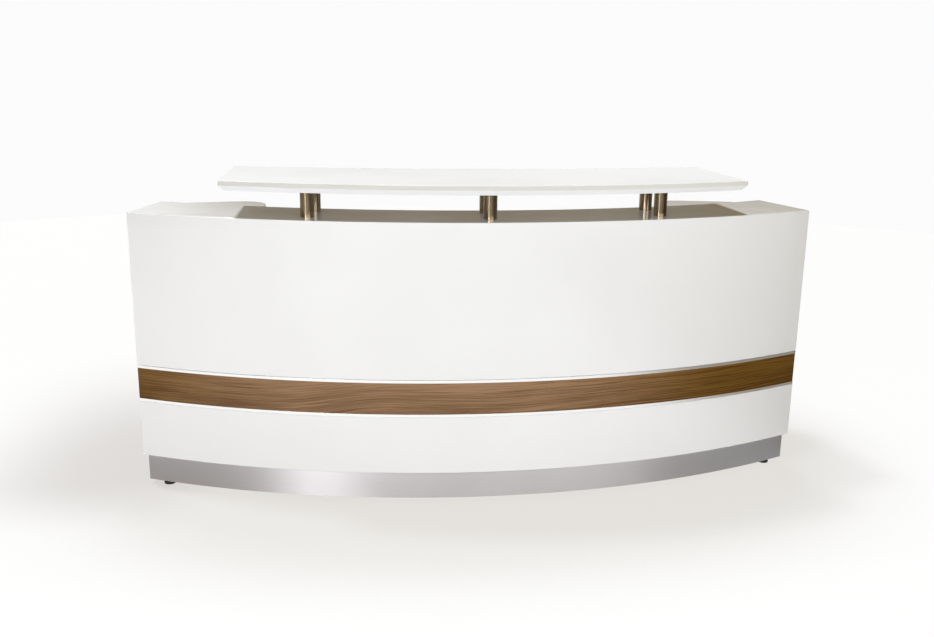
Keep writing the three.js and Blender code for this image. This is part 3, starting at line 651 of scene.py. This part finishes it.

# Stage: a round pale floor, lit from within so that its shadows stay pale. Shade is painted into the light it
# gives: a contact shade from occlusion close to the desk, and a painted shadow at the desk's left end. Past the
# right end it is dimmed for every ray but the camera's, so it lights the desk less there than it shows.
FLOOR_RADIUS = 7.4
ring = circle(0, 0, FLOOR_RADIUS, FLOOR_STEPS)[0]
floor_mesh = bpy.data.meshes.new("floor")
floor_mesh.from_pydata(np.column_stack((ring, np.zeros(len(ring)))).tolist(), [], [list(range(len(ring)))])
floor = bpy.data.objects.new("floor", floor_mesh)
bpy.context.scene.collection.objects.link(floor)
f = Finish("floor")
near = f.place()
x, y = f.axis(near, 0), f.axis(near, 1)
grain = f.noise(near, scale=3, detail=4)
# Occlusion paints a contact shade into the floor's light close to the desk
openness = f.node("ShaderNodeAmbientOcclusion", {"samples": 12}, {"Distance": 1.0}, output=1) ** 6
# A painted shadow on the floor at the desk's left end
left_end_painted_shadow = x.between(-2.1, -1.3) * (1 - x.between(-1.2, -0.9))
left_end_painted_shadow = left_end_painted_shadow * y.between(-0.5, 0) * (1 - y.between(0.1, 1.8))
in_picture = f.node("ShaderNodeLightPath", output="Is Camera Ray")
unlit = x.between(1.1, 1.9) * (1 - in_picture)
glow_with_painted_shade = f.tint(openness.between(0.2, 0.5), (0.735, 0.718, 0.685, 1), (0.9, 0.9, 0.898, 1))
glow_with_painted_shade = f.tint(left_end_painted_shadow, glow_with_painted_shade, (0.635, 0.615, 0.595, 1))
floor_mesh.materials.append(f.surface(
    Base_Color=f.tint(grain, (0.06, 0.06, 0.06, 1), (0.065, 0.065, 0.065, 1)),
    Roughness=0.8,
    Specular_IOR_Level=0.1,
    Emission_Color=f.tint(unlit, glow_with_painted_shade, (0.2, 0.175, 0.135, 1)),
    Emission_Strength=1.0,
))


def lamp(name, kind, place, toward, tint, energy, hidden_from=(), **settings):
    """A light that shines along a direction, hidden from the camera and from the given kinds of ray."""
    data = bpy.data.lights.new(name, kind)
    data.energy, data.color = energy, tint
    for key, value in settings.items():
        setattr(data, key, value)
    light = bpy.data.objects.new(name, data)
    light.location = place
    light.rotation_mode = "QUATERNION"
    light.rotation_quaternion = Vector(toward).to_track_quat("-Z", "Y")
    for ray in ("camera", *hidden_from):
        setattr(light, "visible_" + ray, False)
    bpy.context.scene.collection.objects.link(light)


# Light: a key from above and a little behind, a wide soft fill from the visitors' side, a narrower side
# light from their right, a strip at their left that lights the front and shows in the steel, and a wall
# that only gloss shows
lamp("key", "SUN", (0, 0, 0), (0.37, -0.2, -1.0), (0.935, 0.967, 1.0), 3.84, angle=math.radians(8))
lamp(
    "fill", "AREA", (-0.2, -4.3, 1.4), (0, 3.9, -0.7), (0.905, 0.935, 1.0), 96.0,
    hidden_from=["glossy"], shape="RECTANGLE", size=6.0, size_y=1.3,
)
lamp(
    "side", "AREA", (2.4, -2.2, 1.05), (-1.8, 1.95, 0.37), (1.0, 0.985, 0.88), 3.65,
    hidden_from=["glossy"], shape="RECTANGLE", size=1.4, size_y=0.6, spread=math.radians(75),
)
lamp(
    "strip", "AREA", (-2.45, -4.2, 1.5), (2.35, 3.9, -0.9), (1.0, 1.0, 1.0), 39.0,
    shape="RECTANGLE", size=1.2, size_y=1.8,
)
lamp(
    "wall", "AREA", (0.4, -4.3, 2.05), (0, 3.94, -1.9), (1.0, 0.99, 0.98), 102.7,
    hidden_from=["diffuse"], shape="RECTANGLE", size=7.4, size_y=1.4,
)

# Surround: white behind the desk in the picture; dim and warm for all else, with a pale patch at the
# left rear
world = bpy.data.worlds.new("surround")
bpy.context.scene.world = world
f = Finish("surround", world)
toward = f.node("ShaderNodeTexCoord", output="Generated")
x, y, z = (f.axis(toward, number) for number in range(3))
warm = f.tint(x.between(-0.4, 0.4), (0.165, 0.113, 0.037, 1), (0.21, 0.16, 0.078, 1))
warm = f.tint(x.between(0.5, 0.75), warm, (0.03, 0.027, 0.022, 1))
patch = x.between(-0.55, -0.4) - x.between(-0.2, -0.08)
patch = patch * y.between(0, 0.3) * (1 - z.between(0.2, 0.4))
dim = f.node("ShaderNodeBackground", {}, {"Color": f.tint(patch, warm, (0.75, 0.74, 0.72, 1))})
seen = f.node("ShaderNodeBackground", {}, {"Color": (0.97, 0.97, 0.97, 1)})
in_picture = f.node("ShaderNodeLightPath", output="Is Camera Ray")
f.finished(f.node("ShaderNodeMixShader", {}, {0: in_picture, 1: dim, 2: seen}), "ShaderNodeOutputWorld")
bpy.context.scene.view_settings.view_transform = "Standard"

# Camera at the photograph's place: a pinhole fitted to the desk's edges, with its turns in radians
EYE = (-0.4796, -3.4693, 1.445)
YAW, PITCH, ROLL = -0.1266, 0.2447, 0.0142
FOCAL_LENGTH, PICTURE_WIDTH = 982.6, 934  # in pixels
SENSOR_WIDTH = 36.0
level = Vector((math.cos(YAW), math.sin(YAW), 0))
ahead = Vector((-math.sin(YAW), math.cos(YAW), 0)) * math.cos(PITCH) - Vector((0, 0, math.sin(PITCH)))
up = level.cross(ahead)
right = level * math.cos(ROLL) + up * math.sin(ROLL)
top = up * math.cos(ROLL) - level * math.sin(ROLL)
camera = bpy.data.objects.new("camera", bpy.data.cameras.new("camera"))
camera.data.sensor_width = SENSOR_WIDTH
camera.data.lens = SENSOR_WIDTH * FOCAL_LENGTH / PICTURE_WIDTH
camera.matrix_world = Matrix.Translation(EYE) @ Matrix((right, top, -ahead)).transposed().to_4x4()
bpy.context.scene.collection.objects.link(camera)
bpy.context.scene.camera = camera

bpy.context.view_layer.update()
